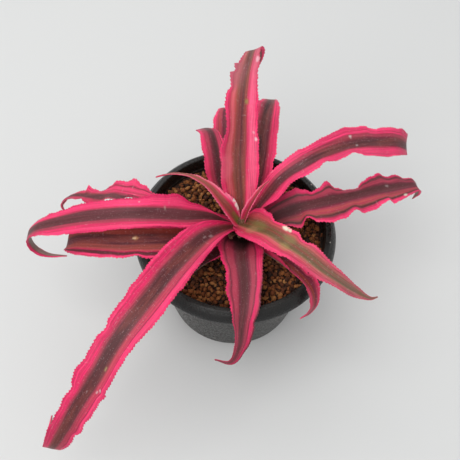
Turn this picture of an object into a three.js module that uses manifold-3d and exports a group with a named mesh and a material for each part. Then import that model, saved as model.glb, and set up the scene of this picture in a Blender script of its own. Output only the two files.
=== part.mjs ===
// Potted earth star: a small bromeliad whose pink-edged strap leaves arch out of a round plastic pot.
// Millimetres, +Z up. The origin is the centre of the pot's base, and the plant is seen along +Y.
import * as THREE from "three";
import { mergeVertices } from "three/addons/utils/BufferGeometryUtils.js";
import Module from "manifold-3d";

const wasm = await Module();
wasm.setup();

// Driving dimensions of the pot
const potHeight = 85;
const collarRadius = 65;
const collarDepth = 8.3;
const rimCrestRadius = 61;
const lipRadius = 57.6;
const shoulderRadius = 58.5;
const footRadius = 45;
const footRounding = 3;
const potWall = 1.7;
const potFloor = 2.2;
const collarThickness = 1.5;
const collarChamfer = 0.3;
const collarEdge = 0.7;
const wallFlare = 0.5;
const rimUnderside = 2.6;
const rimRounding = 1.2;
const lipChamfer = 0.7;
const floorChamfer = 1.5;
const drainHoleRadius = 4;
const drainCircleRadius = 29;
const drainHoles = 6;
const drainHoleSides = 12;
const potSegments = 48;

// Driving dimensions of the growing medium and the stem
const fit = 0.3;
const topInset = 0.1;
const mediumTop = 76.5;
const grainSpacing = 3.9;
const grainRelief = 1.1;
const edgeRelief = 0.4;
const grainShift = 0.7;
const grainSeed = 20;
const stemX = 4;
const stemY = 0;
const stemSides = 16;

// Driving dimensions and shares of length or width that all the leaves use
const stepLength = 5;
const edgeThickness = 0.7;
const thickening = 0.25;
const toothDepth = 0.35;
const gutterCurve = 1.6;
const rippleStart = 0.05;
const rippleFull = 0.3;
const rippleShare = 0.6;

const plastic = { color: 0x2b2c2f, roughness: 0.55, metalness: 0 };
const clay = { color: 0x6b4226, roughness: 0.95, metalness: 0 };
const bark = { color: 0x6a4a3a, roughness: 0.9, metalness: 0 };
const leafDark = { color: 0x8a3347, roughness: 0.45, metalness: 0 };
const leafPink = { color: 0xd63a67, roughness: 0.45, metalness: 0 };

// Each leaf: path is the midrib from the stem out to the tip, and half, gutter and roll are lists that
// are spaced evenly along it. half is the half width, gutter how far the margins stand over the midrib
// as a share of the half width, and roll the blade's turn about the midrib in degrees. The margins
// ripple by wave in mm, waves times, starting at phase, and thick is the blade's thickness in the middle.
const leafPlan = [
  {
    name: "leaf_back_tall", look: leafDark, thick: 1.5, wave: 1.2, waves: 6.5, phase: 0,
    half: [3.5, 7.5, 10.4, 11.2, 10.8, 9.4, 8.6, 7.9, 6.2, 3.4, 0.4],
    gutter: [0.4, 0.4, 0.3, 0.2, 0], roll: [0, 0, -5, -50, -65],
    path: [[4, 3, 90], [2, 10, 103], [0, 19, 123], [0, 29, 142], [0, 37, 157], [1, 45, 169],
      [3, 53, 176], [5, 60, 178], [8, 64, 172], [8, 64, 163], [6, 62, 155]],
  },
  {
    name: "leaf_back_right", look: leafDark, thick: 1.3, wave: 0.8, waves: 5, phase: 0,
    half: [3.5, 5.5, 7.6, 8.4, 8.4, 8, 7.4, 6.6, 5.2, 3, 0.4],
    gutter: [0.4, 0.4, 0.35, 0.25, 0.2], roll: [0, 0, 0, 0, 0],
    path: [[6, 5, 83], [11, 21, 96], [14, 34, 108], [16, 53, 119], [18, 67, 121], [20, 78, 117],
      [21, 88, 108], [22, 94, 96], [21, 97, 84]],
  },
  {
    name: "leaf_back_left", look: leafDark, thick: 1.3, wave: 0.8, waves: 5, phase: 0,
    half: [3.5, 5.5, 8, 8.6, 8.6, 8.2, 7.6, 6.8, 5.2, 3, 0.4],
    gutter: [0.4, 0.4, 0.2, -0.1, -0.3], roll: [0, 0, 0, 0, 0],
    path: [[1, 5, 88], [-5, 16, 98], [-10, 22, 104], [-12, 30, 110], [-14, 40, 114], [-17, 51, 115],
      [-21, 59, 110], [-25, 63, 102], [-28, 65, 93]],
  },
  {
    name: "leaf_back_low", look: leafDark, thick: 1.3, wave: 0.8, waves: 5, phase: 0,
    half: [3.5, 5.5, 6.5, 7.2, 7.4, 7, 6.3, 5.3, 4, 2.4, 0.4],
    gutter: [0.4, 0.3, 0.2, -0.1, -0.4], roll: [0, 0, 0, 5, 5],
    path: [[3, 6, 78], [-3, 28, 86], [-9, 50, 96], [-11, 67, 103], [-11, 81, 103], [-9, 90, 96],
      [-8, 95, 86]],
  },
  {
    name: "leaf_right_upper", look: leafPink, thick: 1.5, wave: 1.3, waves: 7, phase: 0,
    half: [3.5, 5.4, 6.6, 7.2, 8.2, 9.2, 9.7, 9.8, 8, 4, 0.4],
    gutter: [0.3, 0.2, 0.1, 0, 0], roll: [0, 0, 0, 0, 15, 30],
    path: [[7, 3, 86], [16, 12, 98], [26, 19, 112], [41, 26, 121], [55, 34, 122], [74, 45, 117],
      [92, 54, 109], [104, 59, 104], [112, 63, 96], [115, 68, 88], [113, 73, 80], [107, 75, 74]],
  },
  {
    name: "leaf_right_lower", look: leafDark, thick: 1.5, wave: 2.4, waves: 5.3, phase: 0.11,
    half: [3.5, 7, 9.6, 10.4, 10.5, 10.5, 10.2, 9.6, 8, 4.5, 0.4],
    gutter: [0.3, 0.1, 0, 0, 0], roll: [0, 0, 0, 0, 0],
    path: [[8, 0, 81], [20, 2, 90], [31, 4, 97], [44, 6, 102], [57, 9, 103], [70, 14, 101],
      [85, 21, 98], [101, 29, 92], [114, 36, 87], [121, 43, 79], [122, 46, 69], [118, 47, 62]],
  },
  {
    name: "leaf_front_right", look: leafPink, thick: 1.6, wave: 0.5, waves: 5, phase: 0,
    half: [4, 8, 9.4, 8.8, 8, 7.2, 6.4, 5, 3.4, 1.6, 0.4],
    gutter: [0.3, 0.3, 0.15, 0.1, 0.1], roll: [0, 0, 0, 0, 0],
    path: [[6, -1, 90], [19, -14, 104], [30, -25, 109], [41, -34, 110], [51, -41, 107], [63, -47, 102],
      [74, -50, 95], [81, -51, 91], [86, -49, 89]],
  },
  {
    name: "leaf_front_right_low", look: leafPink, thick: 1.2, wave: 0.7, waves: 5, phase: 0,
    half: [3, 4.6, 5.6, 6, 6, 5.4, 4.4, 3.2, 2, 1, 0.4],
    gutter: [0.3, 0.3, 0.2, 0.1, 0], roll: [0, 0, 0, 0, 0],
    path: [[7, -3, 79], [16, -16, 86], [27, -28, 92], [38, -38, 94], [46, -46, 90], [49, -51, 80],
      [48, -54, 71], [42, -57, 66]],
  },
  {
    name: "leaf_front", look: leafDark, thick: 1.5, wave: 1.2, waves: 5, phase: 0,
    half: [4, 9, 12.2, 12.2, 10.6, 8.4, 6.2, 4.6, 3, 1.6, 0.4],
    gutter: [0.3, 0.25, 0.15, 0, 0], roll: [0, 0, 0, 0, 0],
    path: [[4, -4, 81], [4, -18, 91], [5, -33, 97], [7, -47, 96], [7, -60, 91], [6, -68, 82],
      [5, -75, 67], [0, -81, 57], [-10, -78, 52]],
  },
  {
    name: "leaf_front_left", look: leafDark, thick: 1.7, wave: 1.2, waves: 9, phase: 0,
    half: [3.5, 7.5, 10.2, 10.8, 10.2, 9.6, 9, 8.6, 7.8, 3.6, 0.4],
    gutter: [0.3, 0.25, 0.15, 0.1, 0], roll: [0, 0, 0, -10, -30, -35],
    path: [[1, -3, 89], [-8, -13, 100], [-18, -25, 108], [-33, -50, 117], [-43, -67, 119],
      [-54, -83, 117], [-64, -97, 110], [-73, -110, 99], [-83, -120, 86], [-91, -129, 73],
      [-98, -136, 62], [-102, -136, 54], [-104, -130, 51], [-104, -120, 51]],
  },
  {
    name: "leaf_front_left_low", look: leafDark, thick: 1.2, wave: 0.5, waves: 3, phase: 0,
    half: [3, 4.5, 5.5, 5.8, 5.8, 5.5, 5, 4.2, 3, 1.6, 0.4],
    gutter: [0.3, 0.2, 0.1, 0.1, 0], roll: [0, 0, 0, 0, 0],
    path: [[3, -5, 79], [-7, -16, 82], [-18, -26, 83], [-27, -35, 82]],
  },
  {
    name: "leaf_left", look: leafPink, thick: 1.6, wave: 0.9, waves: 8, phase: 0,
    half: [3.5, 7, 9.8, 10.6, 10.6, 10, 8.8, 6.8, 4.2, 1.8, 0.4],
    gutter: [0.2, 0.2, 0.1, 0.1, 0], roll: [0, 0, 0, 0, 0],
    path: [[0, 0, 85], [-16, -1, 97], [-34, -8, 108], [-51, -13, 115], [-64, -15, 117], [-79, -15, 114],
      [-95, -14, 109], [-111, -12, 101], [-123, -10, 92], [-131, -9, 79], [-132, -9, 66],
      [-124, -10, 60], [-111, -10, 58]],
  },
  {
    name: "leaf_left_low", look: leafDark, thick: 1.4, wave: 0.7, waves: 6, phase: 0,
    half: [3, 5, 8.2, 9.2, 9.6, 9.6, 9.2, 8.6, 7.4, 4.2, 0.4],
    gutter: [0.15, 0.2, 0.1, 0, 0], roll: [0, -6, -18, -20, -10],
    path: [[1, -2, 81], [-18, -13, 88], [-37, -20, 96], [-53, -23, 99], [-70, -23, 97], [-84, -21, 94],
      [-97, -18, 88], [-105, -15, 79], [-107, -12, 70], [-103, -10, 63], [-96, -9, 60]],
  },
  {
    name: "leaf_left_back", look: leafDark, thick: 1.4, wave: 2.2, waves: 9, phase: 0.65,
    half: [3, 5, 6.6, 8.3, 9, 7.6, 6, 4.6, 3, 1.4, 0.4],
    gutter: [0.15, 0.1, 0, 0, 0], roll: [0, 0, 0, 0, 0],
    path: [[1, 3, 83], [-18, 3, 90], [-38, 3, 97], [-54, 7, 102], [-74, 12, 101], [-85, 13, 96],
      [-95, 15, 91], [-104, 18, 85], [-111, 21, 77], [-114, 23, 68], [-111, 23, 60], [-105, 22, 57]],
  },
  {
    name: "leaf_inner_left", look: leafPink, thick: 1.1, wave: 0.3, waves: 3, phase: 0,
    half: [2.5, 4.6, 5, 4.2, 3.4, 2.8, 2.4, 2, 1.5, 0.9, 0.4],
    gutter: [0.4, 0.5, 0.4, 0.3, 0.3], roll: [0, 0, 0, 0, 0],
    path: [[2, -1, 90], [-7, 1, 107], [-16, 7, 116], [-24, 12, 118], [-31, 15, 118], [-39, 17, 116],
      [-45, 18, 113], [-51, 18, 110]],
  },
  {
    name: "leaf_inner_right", look: leafPink, thick: 0.9, wave: 0, waves: 1, phase: 0,
    half: [2, 2.3, 2.4, 2.4, 2.2, 2, 1.8, 1.5, 1.1, 0.7, 0.4],
    gutter: [1, 1.2, 1, 1, 0.8], roll: [0, 0, 0, 0, 0],
    path: [[5, -1, 92], [8, 2, 104], [12, 6, 112], [16, 10, 116], [19, 12, 118]],
  },
];

// The smooth value at t, from 0 to 1, of a list spaced evenly along that range
function along(list, t) {
  const last = list.length - 1;
  const place = Math.min(t * last, last - 1e-9);
  const i = Math.floor(place);
  const f = place - i;
  const a = list[Math.max(i - 1, 0)];
  const b = list[i];
  const c = list[i + 1];
  const d = list[Math.min(i + 2, last)];
  return b + 0.5 * f * (c - a + f * (2 * a - 5 * b + 4 * c - d + f * (3 * (b - c) + d - a)));
}

function solidOf(geometry) {
  const bare = geometry.index ? geometry.clone() : geometry;
  bare.deleteAttribute("normal");
  bare.deleteAttribute("uv");
  const merged = mergeVertices(bare, 1e-4);
  return new wasm.Manifold(new wasm.Mesh({
    numProp: 3,
    vertProperties: new Float32Array(merged.attributes.position.array),
    triVerts: new Uint32Array(merged.index.array),
  }));
}

function geometryOf(solid) {
  const { vertProperties, triVerts } = solid.getMesh();
  const geometry = new THREE.BufferGeometry();
  geometry.setAttribute("position", new THREE.BufferAttribute(vertProperties, 3));
  geometry.setIndex(new THREE.BufferAttribute(triVerts, 1));
  return geometry;
}

// The biggest of the bodies that a cut leaves
function mainBody(solid) {
  return solid.decompose().sort((a, b) => b.volume() - a.volume())[0];
}

// A turned body standing on the Z axis: the profile runs in [radius, height] from the axis to the axis
function turned(profile, segments) {
  const points = profile.map(([radius, height]) => new THREE.Vector2(radius, height));
  return new THREE.LatheGeometry(points, segments).rotateX(Math.PI / 2);
}

function arc(centreRadius, centreHeight, radius, from, to, steps) {
  return Array.from({ length: steps + 1 }, (_, i) => {
    const angle = THREE.MathUtils.degToRad(THREE.MathUtils.lerp(from, to, i / steps));
    return [centreRadius + radius * Math.cos(angle), centreHeight + radius * Math.sin(angle)];
  });
}

const innerFootRadius = footRadius - potWall;

function potGeometry() {
  const collarBottom = potHeight - collarDepth;
  const profile = [
    [0, 0],
    ...arc(footRadius - footRounding, footRounding, footRounding, -90, -10, 3),
    [shoulderRadius, collarBottom],
    [shoulderRadius + wallFlare, potHeight - rimUnderside],
    [rimCrestRadius - wallFlare, potHeight - rimUnderside],
    [collarRadius - collarThickness, collarBottom + collarChamfer],
    [collarRadius - collarThickness + collarChamfer, collarBottom],
    [collarRadius - collarChamfer, collarBottom],
    [collarRadius, collarBottom + collarEdge],
    ...arc(rimCrestRadius - rimRounding, potHeight - rimRounding, rimRounding, 20, 90, 2),
    [lipRadius + lipChamfer, potHeight],
    [lipRadius, potHeight - lipChamfer],
    [innerFootRadius, potFloor + floorChamfer],
    [innerFootRadius - floorChamfer, potFloor],
    [0, potFloor],
  ];
  let pot = solidOf(turned(profile, potSegments));
  for (let i = 0; i < drainHoles; i++) {
    const angle = ((i + 0.5) / drainHoles) * 2 * Math.PI;
    const hole = new THREE.CylinderGeometry(drainHoleRadius, drainHoleRadius, 4 * potFloor, drainHoleSides);
    hole.rotateX(Math.PI / 2);
    hole.translate(drainCircleRadius * Math.cos(angle), drainCircleRadius * Math.sin(angle), potFloor / 2);
    pot = pot.subtract(solidOf(hole));
  }
  return geometryOf(pot);
}

// The stem is turned too. grow widens it, to cut the room that it stands in.
function stemGeometry(grow) {
  const profile = [
    [0, 62 - grow],
    [3 + grow, 62 - grow],
    [6 + grow, 70],
    [7.5 + grow, 77],
    [6.6 + grow, 84],
    [4.6 + grow, 89.5],
    [2.4 + grow, 93],
    [0, 94 + 1.5 * grow],
  ];
  return turned(profile, stemSides).translate(stemX, stemY, 0);
}

// A seeded draw from 0 to 1, the same at every run
function seededDraw(seed) {
  let state = seed;
  return () => {
    state = (state * 1664525 + 1013904223) % 4294967296;
    return state / 4294967296;
  };
}

// Rings of vertices, six more in each ring outwards, raised and lowered as the grains lie
function mediumGeometry() {
  const draw = seededDraw(grainSeed);
  const wallRadius = (height) => THREE.MathUtils.mapLinear(
    height, potFloor + floorChamfer, potHeight - lipChamfer, innerFootRadius, lipRadius) - fit;
  const topRadius = wallRadius(mediumTop) - topInset;
  const rings = Math.round(topRadius / grainSpacing);
  const positions = [0, 0, mediumTop];
  const firstOf = (ring) => (ring === 0 ? 0 : 1 + 3 * ring * (ring - 1));
  for (let ring = 1; ring <= rings; ring++) {
    for (let i = 0; i < 6 * ring; i++) {
      const place = i + (ring < rings ? grainShift * (draw() - 0.5) : 0);
      const angle = (place / (6 * ring)) * 2 * Math.PI;
      const radius = topRadius * (ring / rings) + (ring < rings ? draw() - 0.5 : 0);
      const height = mediumTop + (ring < rings ? grainRelief : edgeRelief) * (2 * draw() - 1);
      positions.push(radius * Math.cos(angle), radius * Math.sin(angle), height);
    }
  }
  const index = [];
  for (let ring = 1; ring <= rings; ring++) {
    const inner = firstOf(ring - 1);
    const outer = firstOf(ring);
    const innerCount = Math.max(6 * (ring - 1), 1);
    for (let side = 0; side < 6; side++) {
      for (let k = 0; k < ring; k++) {
        const a = outer + side * ring + k;
        const b = outer + ((side * ring + k + 1) % (6 * ring));
        const c = inner + ((side * (ring - 1) + k) % innerCount);
        index.push(a, b, c);
        if (k < ring - 1) {
          index.push(b, inner + ((side * (ring - 1) + k + 1) % innerCount), c);
        }
      }
    }
  }
  const rim = 6 * rings;
  const top = firstOf(rings);
  const cornerHeight = potFloor + 2 * floorChamfer;
  const bottomRadius = innerFootRadius - floorChamfer - fit;
  const corner = positions.length / 3;
  for (const [radius, height] of [[wallRadius(cornerHeight), cornerHeight], [bottomRadius, potFloor + fit]]) {
    for (let i = 0; i < rim; i++) {
      const angle = (i / rim) * 2 * Math.PI;
      positions.push(radius * Math.cos(angle), radius * Math.sin(angle), height);
    }
  }
  const centre = positions.length / 3;
  positions.push(0, 0, potFloor + fit);
  for (let i = 0; i < rim; i++) {
    const next = (i + 1) % rim;
    index.push(top + next, top + i, corner + i);
    index.push(top + next, corner + i, corner + next);
    index.push(corner + next, corner + i, corner + rim + i);
    index.push(corner + next, corner + rim + i, corner + rim + next);
    index.push(corner + rim + next, corner + rim + i, centre);
  }
  const geometry = new THREE.BufferGeometry();
  geometry.setAttribute("position", new THREE.Float32BufferAttribute(positions, 3));
  geometry.setIndex(index);
  return geometryOf(solidOf(geometry).subtract(solidOf(stemGeometry(fit))));
}

// Frames along the midrib: the sideways vector starts level and is carried along with the least twist
function midribFrames(leaf) {
  const points = leaf.path.map(([x, y, z]) => new THREE.Vector3(x, y, z));
  const curve = new THREE.CatmullRomCurve3(points, false, "catmullrom", 0.5);
  const steps = Math.round(curve.getLength() / stepLength);
  const frames = [];
  const side = new THREE.Vector3();
  let last = null;
  for (let i = 0; i <= steps; i++) {
    const t = i / steps;
    const tangent = curve.getTangentAt(t).normalize();
    if (last) {
      side.applyQuaternion(new THREE.Quaternion().setFromUnitVectors(last, tangent));
    } else {
      side.set(tangent.y, -tangent.x, 0).normalize();
    }
    last = tangent;
    const turn = THREE.MathUtils.degToRad(along(leaf.roll, t));
    const across = side.clone().applyAxisAngle(tangent, turn);
    frames.push({ t, centre: curve.getPointAt(t), across, up: across.clone().cross(tangent) });
  }
  return frames;
}

// Closed blade: five vertices across the top and five under them at every step of the midrib
function bladeGeometry(leaf) {
  const lanes = [-1, -0.5, 0, 0.5, 1];
  const ring = 2 * lanes.length;
  const positions = [];
  const frames = midribFrames(leaf);
  const fullHalf = rippleShare * Math.max(...leaf.half);
  frames.forEach(({ t, centre, across, up }, i) => {
    const tooth = i % 2 ? toothDepth : -toothDepth;
    const half = along(leaf.half, t) + (i > 1 && i < frames.length - 1 ? tooth : 0);
    const gutter = along(leaf.gutter, t) * half;
    const grown = THREE.MathUtils.smoothstep(t, rippleStart, rippleFull);
    const ripple = leaf.wave * grown * Math.min(1, half / fullHalf);
    const middle = Math.min(leaf.thick, edgeThickness + thickening * half);
    const point = (lane, drop) => {
      const turn = 2 * Math.PI * (leaf.waves * t + leaf.phase) + (lane < 0 ? Math.PI : 0);
      const lift = gutter * Math.abs(lane) ** gutterCurve + ripple * lane * lane * Math.sin(turn);
      positions.push(...centre.clone().addScaledVector(across, lane * half).addScaledVector(up, lift - drop));
    };
    lanes.forEach((lane) => point(lane, 0));
    lanes.forEach((lane) => point(lane, THREE.MathUtils.lerp(middle, edgeThickness, lane * lane)));
  });
  const index = [];
  for (let i = 0; i < frames.length - 1; i++) {
    for (let lane = 0; lane < lanes.length - 1; lane++) {
      const a = i * ring + lane;
      const b = a + lanes.length;
      index.push(a, a + 1, a + 1 + ring);
      index.push(a, a + 1 + ring, a + ring);
      index.push(b + 1 + ring, b + 1, b);
      index.push(b + ring, b + 1 + ring, b);
    }
    const left = i * ring;
    const right = left + lanes.length - 1;
    index.push(left, left + ring, left + lanes.length);
    index.push(left + ring, left + ring + lanes.length, left + lanes.length);
    index.push(right + ring, right, right + lanes.length);
    index.push(right + ring, right + lanes.length, right + lanes.length + ring);
  }
  const end = (frames.length - 1) * ring;
  for (let lane = 0; lane < lanes.length - 1; lane++) {
    const under = lane + lanes.length;
    index.push(lane + 1, lane, under);
    index.push(lane + 1, under, under + 1);
    index.push(end + lane, end + lane + 1, end + under);
    index.push(end + lane + 1, end + under + 1, end + under);
  }
  const geometry = new THREE.BufferGeometry();
  geometry.setAttribute("position", new THREE.Float32BufferAttribute(positions, 3));
  geometry.setIndex(index);
  return geometry;
}

function leafGeometry(leaf) {
  return geometryOf(mainBody(solidOf(bladeGeometry(leaf)).subtract(solidOf(stemGeometry(fit)))));
}

const group = new THREE.Group();

function addPiece(name, geometry, look) {
  const mesh = new THREE.Mesh(geometry, new THREE.MeshStandardMaterial(look));
  mesh.name = name;
  group.add(mesh);
}

addPiece("pot", potGeometry(), plastic);
addPiece("growing_medium", mediumGeometry(), clay);
addPiece("stem", geometryOf(solidOf(stemGeometry(0))), bark);
for (const leaf of leafPlan) {
  addPiece(leaf.name, leafGeometry(leaf), leaf.look);
}

export default group;
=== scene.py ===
# Potted earth star: finer leaves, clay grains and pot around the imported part, in its own frame, in metres.
import math

import bmesh
import bpy
from mathutils import Matrix, Quaternion, Vector


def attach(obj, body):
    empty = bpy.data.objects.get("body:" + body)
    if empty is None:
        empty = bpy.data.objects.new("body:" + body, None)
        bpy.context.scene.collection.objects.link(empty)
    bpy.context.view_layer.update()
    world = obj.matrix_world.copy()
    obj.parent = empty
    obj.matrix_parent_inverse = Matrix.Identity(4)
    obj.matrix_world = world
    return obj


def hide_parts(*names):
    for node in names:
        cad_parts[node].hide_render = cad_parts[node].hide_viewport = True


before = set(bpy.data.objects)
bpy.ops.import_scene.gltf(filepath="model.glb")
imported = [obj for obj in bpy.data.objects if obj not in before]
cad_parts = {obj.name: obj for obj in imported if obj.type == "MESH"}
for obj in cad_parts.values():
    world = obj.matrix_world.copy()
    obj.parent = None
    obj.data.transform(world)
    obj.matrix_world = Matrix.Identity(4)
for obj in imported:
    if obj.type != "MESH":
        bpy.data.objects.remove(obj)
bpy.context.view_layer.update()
mm = 0.001
print("frame loaded with", len(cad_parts), "nodes")


def linear(hexText):
    channels = [int(hexText[i:i + 2], 16) / 255 for i in (1, 3, 5)]
    return [c / 12.92 if c <= 0.04045 else ((c + 0.055) / 1.055) ** 2.4 for c in channels] + [1.0]


# Sets a node's inputs in their order, or by name or number, and links the first live output of a given node
def setInputs(node, inputs):
    for key, value in inputs.items() if isinstance(inputs, dict) else enumerate(inputs):
        if isinstance(value, bpy.types.Node):
            value = next(socket for socket in value.outputs if socket.enabled)
        if isinstance(value, bpy.types.NodeSocket):
            node.id_data.links.new(value, node.inputs[key])
        else:
            node.inputs[key].default_value = value


# The function that adds a node to a tree, with its settings and links. stops are a ramp's places and colours.
def nodeAdder(tree):
    def add(kind, inputs=(), stops=None, **settings):
        node = tree.nodes.new(kind)
        for name, value in settings.items():
            setattr(node, name, value)
        setInputs(node, inputs)
        if stops:
            elements = node.color_ramp.elements
            elements[0].position, elements[0].color = stops[0][0], linear(stops[0][1])
            elements[1].position, elements[1].color = stops[-1][0], linear(stops[-1][1])
            for place, hexText in stops[1:-1]:
                elements.new(place).color = linear(hexText)
        return node

    return add


def newMaterial(name):
    material = bpy.data.materials.new(name)
    material.use_nodes = True
    tree = material.node_tree
    return material, nodeAdder(tree), tree.nodes["Principled BSDF"]


# Fleshy bromeliad leaf: a satin skin in lengthwise stripes, dark along the middle, rose beside it and hot
# pink along the margins, finely streaked and dusted with pale scurf
leafTones = {
    "pink": "#e8386a", "blush": "#ee6f8f", "crimson": "#c52d54", "rose": "#a4364b", "coral": "#c04b52",
    "salmon": "#b24848", "cerise": "#d6255c", "shrimp": "#ce5a63", "maroon": "#7e3a3a", "candy": "#f0597f",
    "raspberry": "#b73850", "terracotta": "#964842", "brick": "#86342c", "sienna": "#8c4438",
    "wine": "#6d2233", "mauve": "#643036", "umber": "#552629", "dusk": "#411f22", "olive": "#6b5236",
    "tan": "#97694b", "drab": "#77645a", "underside": "#8a7168", "scurf": "#c9aeb0",
}
# A pattern has its width and length in mm and its detail, and four numbers are a range and what it turns
# into. The dots are drawn coarser than real scurf, so that they show.
leafLooks = {
    "patterns": {"streak": (0.6, 45, 3), "mottle": (5, 28, 3), "scurf": (0.7, 4.5, 2), "dot": (0.55, 0.7, 1),
                 "scratch": (5, 1.1, 2)},
    "patternRoughness": 0.6, "patternDepth": 9.0, "leafShift": 0.37, "wander": 0.12,
    "tipStreak": (0.3, 0.6, 0.6, 1), "blotchRange": (0.46, 0.6), "blotchLane": (0.35, 0.6, 1, 0),
    "underBands": "underside 0 0.5, rose 0.68, pink 0.8 1", "underFrom": -0.05,
    "streakGain": (0.25, 0.75, 0.67, 1.31), "mottleGain": (0.3, 0.7, 0.86, 1.14),
    "paleMarks": {"scurf": (0.66, 0.8, 0, 0.45), "dot": (0.66, 0.78, 0, 0.4),
                  "scratch": (0.68, 0.8, 0, 0.35)},
    "roughness": (0.3, 0.7, 0.36, 0.55), "ior": 1.4, "sheen": 0.38, "ridgeStrength": 0.5,
    "ridgeHeight": 0.25 * mm,
}


# Ramp stops from a line of tones, each followed by its places
def toneStops(line):
    return [(float(place), leafTones[tone]) for tone, *places in map(str.split, line.split(", "))
            for place in places]


def leafMaterial(name, leaf, seed):
    material, add, shader = newMaterial("bromeliad leaf skin, grown, " + name)
    given = {key: add("ShaderNodeAttribute", attribute_name=key).outputs["Fac"]
             for key in ("lane", "stripe", "distance", "halfWidth", "side", "markAndPaintedLightShare")}
    markAndPaintedLightTone = add("ShaderNodeAttribute", attribute_name="markAndPaintedLightTone").outputs["Color"]
    across = add("ShaderNodeMath", [given["lane"], given["halfWidth"]], operation="MULTIPLY")
    skinPlace = add("ShaderNodeCombineXYZ", [across, given["distance"], seed * leafLooks["leafShift"]])
    noises = {}
    for key, (width, length, detail) in leafLooks["patterns"].items():
        scale = (1 / (width * mm), 1 / (length * mm), leafLooks["patternDepth"])
        stretched = add("ShaderNodeVectorMath", [skinPlace, scale], operation="MULTIPLY")
        noises[key] = add("ShaderNodeTexNoise", {"Vector": stretched, "Scale": 1, "Detail": detail,
                                                 "Roughness": leafLooks["patternRoughness"]})

    # The stripes wander a little as they run
    wandered = add("ShaderNodeMath", [noises["mottle"], 0.5], operation="SUBTRACT")
    stripe = add("ShaderNodeMath", [wandered, leafLooks["wander"], given["stripe"]], operation="MULTIPLY_ADD")
    place = add("ShaderNodeMath", [stripe, 0.5, 0.5], operation="MULTIPLY_ADD")
    bands = [((lane + 1) / 2, tone) for lane, tone in toneStops(leaf["bands"])]
    above = add("ShaderNodeValToRGB", [place], stops=bands)

    # Towards the tip one tone takes over, in streaks
    tipTone, tipStart, tipEnd, tipShare = leaf["tip"]
    nearTip = add("ShaderNodeMapRange", [given["distance"], tipStart * mm, tipEnd * mm, 0, tipShare])
    tipStreak = add("ShaderNodeMapRange", [noises["streak"], *leafLooks["tipStreak"]])
    tipHere = add("ShaderNodeMath", [nearTip, tipStreak], operation="MULTIPLY")
    tipped = add("ShaderNodeMix", {0: tipHere, 6: above, 7: linear(leafTones[tipTone])}, data_type="RGBA")

    # Blotches of a second tone along the middle
    blotchTone, blotchShare = leaf["blotches"]
    blotch = add("ShaderNodeMapRange", [noises["mottle"], *leafLooks["blotchRange"], 0, blotchShare])
    away = add("ShaderNodeMath", [given["stripe"]], operation="ABSOLUTE")
    inMiddle = add("ShaderNodeMapRange", [away, *leafLooks["blotchLane"]])
    blotchHere = add("ShaderNodeMath", [blotch, inMiddle], operation="MULTIPLY")
    blotched = add("ShaderNodeMix", {0: blotchHere, 6: tipped, 7: linear(leafTones[blotchTone])},
                   data_type="RGBA")

    # The under side is drab, with pink margins
    offMiddle = add("ShaderNodeMath", [given["lane"]], operation="ABSOLUTE")
    under = add("ShaderNodeValToRGB", [offMiddle], stops=toneStops(leafLooks["underBands"]))
    isUnder = add("ShaderNodeMath", [given["side"], leafLooks["underFrom"]], operation="LESS_THAN")
    bothSides = add("ShaderNodeMix", {0: isUnder, 6: blotched, 7: under}, data_type="RGBA")

    # Streaks and mottling lighten and darken the colour
    streakGain = add("ShaderNodeMapRange", [noises["streak"], *leafLooks["streakGain"]])
    mottleGain = add("ShaderNodeMapRange", [noises["mottle"], *leafLooks["mottleGain"]])
    gain = add("ShaderNodeMath", [streakGain, mottleGain], operation="MULTIPLY")
    dusted = add("ShaderNodeVectorMath", {0: bothSides, "Scale": gain}, operation="SCALE")

    # Pale scurf in short strokes, fine dots and cross scratches, then the scars and patches of this leaf,
    # among them some painted shade and painted highlights
    for key, strength in leafLooks["paleMarks"].items():
        pale = add("ShaderNodeMapRange", [noises[key], *strength])
        dusted = add("ShaderNodeMix", {0: pale, 6: dusted, 7: linear(leafTones["scurf"])}, data_type="RGBA")
    withMarksAndPaintedLight = add("ShaderNodeMix", {0: given["markAndPaintedLightShare"], 6: dusted, 7: markAndPaintedLightTone}, data_type="RGBA")

    roughness = add("ShaderNodeMapRange", [noises["streak"], *leafLooks["roughness"]])
    ridges = add("ShaderNodeBump", {"Height": noises["streak"], "Strength": leafLooks["ridgeStrength"],
                                    "Distance": leafLooks["ridgeHeight"]})
    setInputs(shader, {"Base Color": withMarksAndPaintedLight, "Roughness": roughness, "Normal": ridges,
                       "IOR": leafLooks["ior"], "Specular IOR Level": leafLooks["sheen"]})
    return material


# Moulded polypropylene of a nursery pot: black with a leathery sheen, a dusty wall, dust and painted sheen on
# the crest, a pale painted highlight along the collar's lower edge and a few white specks
plasticLooks = {
    "colour": "#0e0d0d", "dustAndSheen": "#3a3730", "paintedEdgeHighlight": "#84827c", "speck": "#c9c6be",
    "collarBottom": 76.6 * mm, "collarStep": 1.5 * mm, "crestTop": 85 * mm, "crestStep": 5 * mm,
    "wallDust": 0.21, "crestDustAndSheen": 0.14, "scuffSize": 5 * mm, "scuffRange": (0.35, 0.7, 0.1, 0.75),
    "edgeHighlightHeight": 0.3 * mm, "edgeHighlightRange": (0.2 * mm, 0.7 * mm, 0.5, 0),
    "speckSpacing": 9 * mm, "speckRange": (0.04, 0.07, 0.8, 0),
    "leather": 1.3 * mm, "roughness": (0.35, 0.65, 0.2, 0.55), "wallRelief": 0.2, "reliefHeight": 0.35 * mm,
    "ior": 1.49, "sheen": 0.36,
}


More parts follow.
